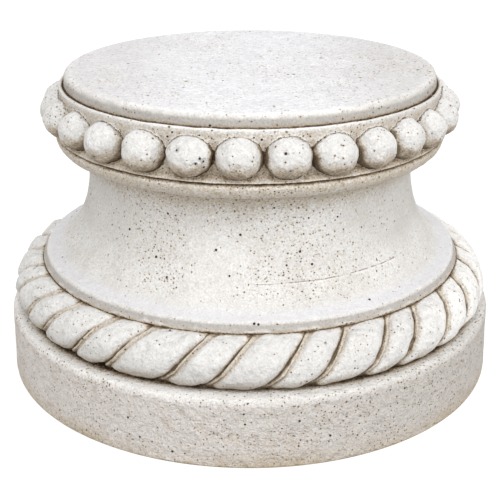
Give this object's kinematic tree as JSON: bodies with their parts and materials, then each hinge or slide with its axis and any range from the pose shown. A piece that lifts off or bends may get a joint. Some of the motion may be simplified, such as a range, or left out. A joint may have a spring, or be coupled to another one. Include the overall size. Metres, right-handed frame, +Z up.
{
  "type": "garden pedestal",
  "caption": "Low round garden pedestal of pale cast stone: a drum, a rope moulding, a flared scotia and a beaded collar under a flat top that carries an urn or a figure.",
  "frame": {"origin": "middle of the underside, on the ground", "axes": "+Z up along the turning axis; -Y is the side that the picture shows"},
  "size_m": [0.38, 0.38, 0.2305],
  "materials": {
    "stone": "weathered off-white cast stone, matt, with pinholes and a brown wash in the hollows"
  },
  "bodies": {
    "root": {"pedestal": "stone"}
  },
  "joints": []
}
